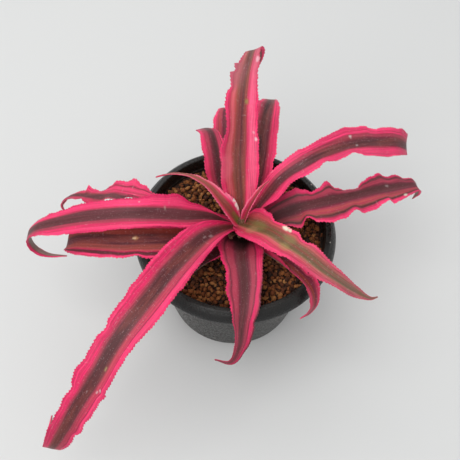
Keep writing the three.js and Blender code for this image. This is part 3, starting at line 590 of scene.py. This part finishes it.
    "leaf_inner_left": dict(
        thick=1.1, tip=("tan", 20, 40, 0.35), blotches=("olive", 0.3),
        half=[2.5, 5, 6, 5, 3.8, 3, 2.5, 2, 1.5, 0.9, 0.4], gutter=[0.4, 0.5, 0.4, 0.3, 0.3],
        path=[(2, -1, 90), (-7, 1, 107), (-16, 7, 116), (-24, 12, 118), (-31, 15, 118), (-39, 17, 116),
              (-45, 18, 113), (-51, 18, 110)],
        leftEdge=[(8, 3), (14, 4), (28, 3), (35, 1.5), (55, 1)],
        rightEdge=[(20, 0), (43, -1), (52, -2), (63, -1)],
        bands="blush -1, pink -0.84, coral -0.55, terracotta -0.25 0.3, raspberry 0.5, cerise 0.66, "
              "blush 0.8 1",
        marksAndPaintedLight=[(9, 0.95, 1.2, "#efe4da", 1), (12, 0.95, 1.5, "#efe4da", 1), (16, 1.0, 1.2, "#efe4da", 1),
               (4, 0.0, 3.2, "#74843a", 0.8), (8, 0.1, 2.4, "#7d7c3e", 0.6)]),
    "leaf_inner_right": dict(
        thick=0.9, lean=(0, 0), tip=("salmon", 15, 30, 0.5), blotches=("olive", 0.2),
        half=[1.8, 2, 2, 1.9, 1.8, 1.6, 1.4, 1.2, 0.9, 0.6, 0.4], gutter=[1, 1.2, 1, 1, 0.8],
        path=[(5, -1, 92), (8, 2, 104), (12, 6, 112), (16, 10, 116), (19, 12, 118)],
        bands="blush -1, crimson -0.75, rose -0.4, sienna 0, rose 0.4, blush 0.7 1"),
}


# The point at a share f of the smooth curve from b to c, where a comes before them and d after
def onCurve(a, b, c, d, f):
    return b + 0.5 * f * (c - a + f * (2 * a - 5 * b + 4 * c - d + f * (3 * (b - c) + d - a)))


# The smooth value at a share, from 0 to 1, of a list spaced evenly along that range
def along(values, share):
    last = len(values) - 1
    place = min(share * last, last - 1e-9)
    i = int(place)
    return onCurve(values[max(i - 1, 0)], values[i], values[i + 1], values[min(i + 2, last)], place - i)


# Points and tangents at even steps along the smooth curve through a leaf's path
def midribPoints(path, step, fine=60):
    knots = [Vector(point) * mm for point in path]
    knots = [2 * knots[0] - knots[1]] + knots + [2 * knots[-1] - knots[-2]]
    dense = [onCurve(*four, i / fine) for four in zip(knots, knots[1:], knots[2:], knots[3:])
             for i in range(fine)] + [knots[-2]]
    reach = [0.0]
    for a, b in zip(dense, dense[1:]):
        reach.append(reach[-1] + (b - a).length)
    count = round(reach[-1] / step)
    points, k = [], 0
    for i in range(count + 1):
        target = reach[-1] * i / count
        while k < len(reach) - 2 and reach[k + 1] < target:
            k += 1
        points.append(dense[k].lerp(dense[k + 1], (target - reach[k]) / (reach[k + 1] - reach[k])))
    tangents = [(points[min(i + 1, count)] - points[max(i - 1, 0)]).normalized() for i in range(count + 1)]
    return points, tangents


# How far a margin runs out at a place along the leaf, both in mm
def scallopAt(edge, place, length):
    knots = [(0, 0), *edge, (length, 0)]
    for (a, outA), (b, outB) in zip(knots, knots[1:]):
        if place <= b:
            f = (place - a) / max(b - a, 1e-6)
            return outA + (outB - outA) * f * f * (3 - 2 * f)
    return 0.0


# Stores a value, a vector or a colour for each point of a mesh
def storeOnPoints(mesh, name, column):
    kind, field = "FLOAT", "value"
    if not isinstance(column[0], (int, float)):
        isVector = isinstance(column[0], Vector)
        kind, field = ("FLOAT_VECTOR", "vector") if isVector else ("FLOAT_COLOR", "color")
        column = [part for item in column for part in item]
    mesh.attributes.new(name, kind, "POINT").data.foreach_set(field, column)


# The midrib as a line of points that carry what the leaf tree reads
def midribObject(name, leaf):
    points, tangents = midribPoints(leaf["path"], leafShared["step"])
    fullHalf = leafShared["rippleShare"] * max(leaf["half"])
    values = {key: [] for key in ("across", "up", "centre", "halfWidth", "gutterLift", "leftOut", "rightOut",
                                  "leftRise", "rightRise", "fullness", "distance")}
    length = (len(points) - 1) * leafShared["step"]
    side = Vector((tangents[0].y, -tangents[0].x, 0)).normalized()
    for i, (point, tangent) in enumerate(zip(points, tangents)):
        if i:
            side.rotate(tangents[i - 1].rotation_difference(tangent))
        share = i / (len(points) - 1)
        across = Quaternion(tangent, math.radians(along(leaf["roll"], share))) @ side
        half = along(leaf["half"], share)
        grown = min(max((share - leafShared["rippleStart"])
                        / (leafShared["rippleFull"] - leafShared["rippleStart"]), 0), 1)
        values["across"].append(across)
        values["up"].append(across.cross(tangent))
        values["centre"].append(point)
        values["halfWidth"].append(half * mm)
        values["gutterLift"].append(along(leaf["gutter"], share) * half * mm)
        values["fullness"].append(grown * grown * (3 - 2 * grown) * min(1, half / fullHalf))
        values["distance"].append(share * length)
        for key, lean in zip(("left", "right"), leaf["lean"]):
            out = scallopAt(leaf[key + "Edge"], share * length / mm, length / mm)
            values[key + "Out"].append(leafShared["scallopOut"] * out * mm)
            values[key + "Rise"].append(lean * out * mm)
    mesh = bpy.data.meshes.new(name + "_midrib")
    mesh.from_pydata(points, [(i, i + 1) for i in range(len(points) - 1)], [])
    for key, column in values.items():
        storeOnPoints(mesh, key, column)
    return newObject(name + "_midrib", mesh)


# What the leaf's colours need at each point of the finished blade
def addColourValues(mesh, leaf):
    lanes = [item.value for item in mesh.attributes["lane"].data]
    distances = [item.value / mm for item in mesh.attributes["distance"].data]
    halves = [item.value / mm for item in mesh.attributes["halfWidth"].data]
    length = max(distances)
    stripes = [lane - along(leaf["drift"], place / length) for lane, place in zip(lanes, distances)]
    marksAndPaintedLight, markAndPaintedLightTones = [0.0] * len(lanes), [(0.0, 0.0, 0.0, 1.0)] * len(lanes)
    for place, markLane, radius, tone, strength in leaf["marksAndPaintedLight"]:
        for i, (lane, distance, half) in enumerate(zip(lanes, distances, halves)):
            lengthwise = (distance - place) * leafShared["markSquash"]
            away = math.hypot(lengthwise, (lane - markLane) * half) / radius
            if away < 1:
                marksAndPaintedLight[i] = max(marksAndPaintedLight[i], strength * min(1.0, leafShared["markEdge"] * (1 - away)))
                markAndPaintedLightTones[i] = linear(tone)
    for key, column in (("stripe", stripes), ("markAndPaintedLightShare", marksAndPaintedLight), ("markAndPaintedLightTone", markAndPaintedLightTones)):
        storeOnPoints(mesh, key, column)


bladeTree = leafTree()
for seed, (name, settings) in enumerate(leafPlan.items(), start=1):
    leaf = {**usualLeaf, **settings}
    midrib = midribObject(name, leaf)
    skin = leafMaterial(name.replace("leaf_", "").replace("_", " "), leaf, seed)
    addModifier(midrib, bladeTree, {**leafShared["inputs"], "Blade Thickness": leaf["thick"] * mm,
                                    "Seed": float(seed), "Material": skin})
    blade = plainMesh(midrib, name.replace("leaf_", "blade_"))
    addColourValues(blade.data, leaf)
    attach(blade, "root")
    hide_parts(name)
    print(name, len(blade.data.polygons), "faces")


def arcPoints(centreRadius, centreHeight, radius, start, end, steps):
    angles = [math.radians(start + (end - start) * i / steps) for i in range(steps + 1)]
    return [(centreRadius + radius * math.cos(a), centreHeight + radius * math.sin(a)) for a in angles]


# A turned solid on the Z axis from a profile in mm that runs from the axis to the axis
def turnedMesh(name, profile, segments, centre=(0.0, 0.0)):
    vertices, faces = [], []
    rings = profile[1:-1]
    for radius, height in rings:
        for i in range(segments):
            angle = 2 * math.pi * i / segments
            vertices.append(((centre[0] + radius * math.cos(angle)) * mm,
                             (centre[1] + radius * math.sin(angle)) * mm, height * mm))
    for ring in range(len(rings) - 1):
        for i in range(segments):
            a, b = ring * segments + i, ring * segments + (i + 1) % segments
            faces.append((a, b, b + segments, a + segments))
    first, last = len(vertices), len(vertices) + 1
    top = (len(rings) - 1) * segments
    vertices += [(centre[0] * mm, centre[1] * mm, height * mm) for height in (profile[0][1], profile[-1][1])]
    for i in range(segments):
        following = (i + 1) % segments
        faces += [(first, following, i), (last, top + i, top + following)]
    mesh = bpy.data.meshes.new(name)
    mesh.from_pydata(vertices, [], faces)
    return newObject(name, mesh)


# The pot in mm. footRing is a shallow ring under the foot, wallTop the wall inside the collar, nook the
# hollow round over it, and slope the outside of the collar. Each is radius and height, and nook has its own
# radius last.
pot = {"height": 85, "wall": 1.7, "footRadius": 45, "footRound": 3,
       "footRing": [(38, 0), (39.5, 0.35), (41, 0)], "wallTop": [(58.45, 75.2), (59, 82)],
       "nook": (59.9, 81.7, 0.7), "collarRadius": 65, "collarBottom": 76.5, "collarRound": 0.8,
       "slope": [(64.9, 78.6), (64.3, 80.4), (63.3, 82.2), (62.2, 83.6)],
       "crestRadius": 60.1, "crestRound": 1.4, "lipRadius": 57.6, "lipRound": 0.8, "floor": 2.2,
       "floorRound": 1.5, "floorStep": 0.2, "segments": 160, "sharpAngle": 40, "holes": 6, "holeRadius": 4,
       "holeCircle": 29, "holeEnds": (-3, 5), "holeSegments": 32}


# From the axis out under the foot, up the wall, round the collar and down the inside
def potProfile():
    top, edge, floor = pot["height"], pot["collarRound"], pot["floorRound"]
    foot, crest, lip = pot["footRound"], pot["crestRound"], pot["lipRound"]
    innerFoot = pot["footRadius"] - pot["wall"]
    return [
        (0, 0), *pot["footRing"], *arcPoints(pot["footRadius"] - foot, foot, foot, -90, -8, 8),
        *pot["wallTop"], *arcPoints(*pot["nook"], 150, 30, 4),
        (pot["collarRadius"] - 2 * edge, pot["collarBottom"] + edge),
        *arcPoints(pot["collarRadius"] - edge, pot["collarBottom"] + edge, edge, 200, 350, 7),
        *pot["slope"], *arcPoints(pot["crestRadius"], top - crest, crest, 30, 90, 5),
        *arcPoints(pot["lipRadius"] + lip, top - lip, lip, 90, 180, 5),
        (innerFoot, pot["floor"] + floor + pot["floorStep"]),
        *arcPoints(innerFoot - floor, pot["floor"] + floor, floor, 0, -90, 4), (0, pot["floor"])]


potPiece = turnedMesh("potBody", potProfile(), pot["segments"])
holeBottom, holeTop = pot["holeEnds"]
holeProfile = [(0, holeBottom), (pot["holeRadius"], holeBottom), (pot["holeRadius"], holeTop), (0, holeTop)]
cutters = []
for i in range(pot["holes"]):
    angle = (i + 0.5) / pot["holes"] * 2 * math.pi
    spot = (pot["holeCircle"] * math.cos(angle), pot["holeCircle"] * math.sin(angle))
    cutters.append(turnedMesh("holeCutter", holeProfile, pot["holeSegments"], spot))
for cutter in cutters:
    cut = potPiece.modifiers.new("Drain hole", "BOOLEAN")
    cut.operation, cut.object, cut.solver = "DIFFERENCE", cutter, "EXACT"
potPiece = plainMesh(potPiece, "nurseryPot")
for cutter in cutters:
    bpy.data.objects.remove(cutter)
potPiece.data.shade_smooth()
potPiece.data.set_sharp_from_angle(angle=math.radians(pot["sharpAngle"]))
potPiece.data.materials.clear()
potPiece.data.materials.append(potPlastic)
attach(potPiece, "root")
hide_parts("pot")
print("pot made")

# The bed in mm. Each of its layers of grains has its spacing, its height over the bed and a shift of the
# seed. mostGrains is how many there may be to a square metre, and lumpScale makes lumps about 1.9 mm across.
bed = {"top": 74.6, "topRadius": 56.2, "floor": 2.5, "footRadius": 41.5, "segments": 96, "upward": 0.7,
       "layers": {"Under": dict(spacing=2.4, height=-0.3, seedShift=0),
                  "Middle": dict(spacing=2.5, height=0.6, seedShift=11),
                  "Over": dict(spacing=3.3, height=1.7, seedShift=23)},
       "unevenness": 0.5, "mostGrains": 5.0e5, "grainSize": 3.3, "grainSides": 7, "grainRings": 5,
       "stretch": ((0.6, 0.6, 0.55), (1.3, 1.2, 1.05)), "turn": 6.28, "lumps": 3.4, "lumpScale": 520.0,
       "seed": 4, "stretchSeed": 5, "shadeSeed": 8}


# Clay grains strewn over the top of the bed in three layers, each a lumpy little ball
def grainTree():
    tree, add, given, result = newTree("Clay Grains", Int=["Seed"], Material=["Material"], Float=[
        *(name + " Spacing" for name in bed["layers"]), "Grain Size", "Lumps"])
    normal = add("ShaderNodeSeparateXYZ", [add("GeometryNodeInputNormal")])
    onTop = add("ShaderNodeMath", [normal.outputs["Z"], bed["upward"]], operation="GREATER_THAN")
    layers = []
    for name, layer in bed["layers"].items():
        seed = add("ShaderNodeMath", [given["Seed"], layer["seedShift"]], operation="ADD")
        points = add("GeometryNodeDistributePointsOnFaces", {
            "Mesh": given["Geometry"], "Selection": onTop, "Distance Min": given[name + " Spacing"],
            "Density Max": bed["mostGrains"], "Seed": seed}, distribute_method="POISSON")
        low, high = ((0, 0, layer["height"] * mm + side * bed["unevenness"] * mm) for side in (-1, 1))
        offset = add("FunctionNodeRandomValue", {0: low, 1: high, "Seed": seed}, data_type="FLOAT_VECTOR")
        layers.append(add("GeometryNodeSetPosition", {"Geometry": points, "Offset": offset}))
    allPoints = add("GeometryNodeJoinGeometry")
    for layer in layers:
        setInputs(allPoints, [layer])
    ball = add("GeometryNodeMeshUVSphere", {"Radius": 0.5, "Segments": bed["grainSides"],
                                            "Rings": bed["grainRings"]})
    turn = add("FunctionNodeRandomValue", {0: (0, 0, 0), 1: [bed["turn"]] * 3, "Seed": given["Seed"]},
               data_type="FLOAT_VECTOR")
    least, most = bed["stretch"]
    stretch = add("FunctionNodeRandomValue", {0: least, 1: most, "Seed": bed["stretchSeed"]},
                  data_type="FLOAT_VECTOR")
    size = add("ShaderNodeVectorMath", {0: stretch, "Scale": given["Grain Size"]}, operation="SCALE")
    grains = add("GeometryNodeInstanceOnPoints", {"Points": allPoints, "Instance": ball, "Rotation": turn,
                                                  "Scale": size})
    shade = add("FunctionNodeRandomValue", {2: 0, 3: 1, "Seed": bed["shadeSeed"]}, data_type="FLOAT")
    shaded = add("GeometryNodeStoreNamedAttribute", {
        "Geometry": grains, "Name": "grainShade", "Value": shade.outputs[1]},
        data_type="FLOAT", domain="INSTANCE")
    real = add("GeometryNodeRealizeInstances", {"Geometry": shaded})
    position = add("GeometryNodeInputPosition")
    lumps = add("ShaderNodeTexNoise", {"Vector": position, "Scale": bed["lumpScale"], "Detail": 3})
    centred = add("ShaderNodeVectorMath", [lumps.outputs["Color"], (0.5, 0.5, 0.5)], operation="SUBTRACT")
    push = add("ShaderNodeVectorMath", {0: centred, "Scale": given["Lumps"]}, operation="SCALE")
    lumpy = add("GeometryNodeSetPosition", {"Geometry": real, "Offset": push})
    together = add("GeometryNodeJoinGeometry")
    for part in (add("GeometryNodeSetShadeSmooth", {"Geometry": lumpy}), given["Geometry"]):
        setInputs(together, [part])
    allReal = add("GeometryNodeRealizeInstances", {"Geometry": together})
    dressed = add("GeometryNodeSetMaterial", {"Geometry": allReal, "Material": given["Material"]})
    setInputs(result, [dressed])
    return tree


bedProfile = [(0, bed["floor"]), (bed["footRadius"], bed["floor"]), (bed["topRadius"], bed["top"]),
              (0, bed["top"])]
bedBody = turnedMesh("bedBody", bedProfile, bed["segments"])
addModifier(bedBody, grainTree(), {
    **{name + " Spacing": layer["spacing"] * mm for name, layer in bed["layers"].items()},
    "Grain Size": bed["grainSize"] * mm, "Lumps": bed["lumps"] * mm, "Seed": bed["seed"], "Material": clay})
bedPiece = plainMesh(bedBody, "clayGrains")
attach(bedPiece, "root")
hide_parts("growing_medium")
print("clay grains made,", len(bedPiece.data.polygons), "faces")

stem = {"profile": [(0, 62), (3, 62), (6, 70), (7.5, 77), (6.6, 84), (4.6, 89.5), (2.4, 93), (0, 94)],
        "centre": (4, 0), "segments": 40}
stemPiece = turnedMesh("shortStem", stem["profile"], stem["segments"], stem["centre"])
stemPiece.data.shade_smooth()
stemPiece.data.materials.append(bark)

# Dry bases of shed leaves, curled round the front of the stem, made with the leaf tree and joined to it
flapShared = {"thick": 0.6 * mm, "half": [2.6, 3.4, 3.6, 3.2, 2.2, 1], "gutter": [0.7, 0.8, 0.6, 0.4, 0.3],
              "inputs": {"Section Points": 24, "Tooth Height": 0.0}, "firstSeed": 50,
              "paths": [[(3, -3, 84), (-1, -8, 90), (-3, -12, 93), (-3, -15, 94)],
                        [(5, -3, 85), (4, -8, 91), (3, -12, 93.5), (2, -14, 94)],
                        [(6, -3, 84), (9, -8, 90), (12, -13, 92), (14, -17, 92)]]}
joined = bmesh.new()
joined.from_mesh(stemPiece.data)
for seed, path in enumerate(flapShared["paths"], start=flapShared["firstSeed"]):
    flap = midribObject("flap", {**usualLeaf, "path": path, "half": flapShared["half"],
                                 "gutter": flapShared["gutter"]})
    addModifier(flap, bladeTree, {
        **leafShared["inputs"], **flapShared["inputs"], "Blade Thickness": flapShared["thick"],
        "Margin Thickness": flapShared["thick"], "Seed": float(seed), "Material": bark})
    flap = plainMesh(flap, "stemFlap")
    joined.from_mesh(flap.data)
    bpy.data.objects.remove(flap)
joined.to_mesh(stemPiece.data)
joined.free()
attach(stemPiece, "root")
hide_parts("stem")
print("stem made")

# Studio: a plain pale floor under a pale sky, with soft lights over the left shoulder, behind and in front
studio = {"floorColour": "#d2d2d0", "floorRoughness": 0.9, "floorSheen": 0.1, "floorSize": 6.0,
          "skyColour": "#f3f5f8", "skyStrength": 0.76, "aim": (0.0, -0.02, 0.09),
          "lights": {"keyLight": {"power": 4.8, "size": 0.8, "place": (-0.35, -0.25, 1.1)},
                     "backLight": {"power": 3.0, "size": 1.0, "place": (-0.3, 0.85, 1.0)},
                     "frontLight": {"power": 12.0, "size": 1.2, "place": (-0.7, -1.8, 1.5)}}}


def addStudio():
    mesh = bpy.data.meshes.new("studioFloor")
    s = studio["floorSize"] / 2
    mesh.from_pydata([(-s, -s, 0), (s, -s, 0), (s, s, 0), (-s, s, 0)], [], [(0, 1, 2, 3)])
    floor = newObject("studioFloor", mesh)
    material, _, shader = newMaterial("matt studio board")
    setInputs(shader, {"Base Color": linear(studio["floorColour"]), "Roughness": studio["floorRoughness"],
                       "Specular IOR Level": studio["floorSheen"]})
    mesh.materials.append(material)
    for name, settings in studio["lights"].items():
        light = bpy.data.lights.new(name, "AREA")
        light.shape, light.size, light.energy = "DISK", settings["size"], settings["power"]
        lamp = newObject(name, light)
        lamp.location = settings["place"]
        lamp.rotation_mode = "QUATERNION"
        aim = Vector(studio["aim"]) - Vector(settings["place"])
        lamp.rotation_quaternion = aim.to_track_quat("-Z", "Y")
    world = bpy.data.worlds.new("paleSky")
    world.use_nodes = True
    setInputs(world.node_tree.nodes["Background"], {"Color": linear(studio["skyColour"]),
                                                    "Strength": studio["skyStrength"]})
    bpy.context.scene.world = world
    bpy.context.scene.view_settings.view_transform = "Standard"


# The photograph's viewpoint: 57.6 degrees down along +Y, turned slightly about the view. Target and distance
# are in mm, and clip in metres.
view = {"target": (-3.59, -3.26, 85.0), "distance": 445.1, "elevation": 57.63, "roll": 2.21, "lens": 54.78,
        "sensor": 36, "clip": (0.01, 20)}


def addCamera():
    elevation, roll = math.radians(view["elevation"]), math.radians(view["roll"])
    back = Vector((0, -math.cos(elevation), math.sin(elevation)))
    right = Vector((1, 0, 0))
    up = back.cross(right)
    turnedRight = math.cos(roll) * right + math.sin(roll) * up
    turnedUp = -math.sin(roll) * right + math.cos(roll) * up
    data = bpy.data.cameras.new("photoCamera")
    data.lens, data.sensor_width = view["lens"], view["sensor"]
    data.clip_start, data.clip_end = view["clip"]
    camera = newObject("photoCamera", data)
    place = Matrix((turnedRight, turnedUp, back)).transposed().to_4x4()
    place.translation = (Vector(view["target"]) + back * view["distance"]) * mm
    camera.matrix_world = place
    bpy.context.scene.camera = camera


addStudio()
addCamera()
print("studio and camera set")
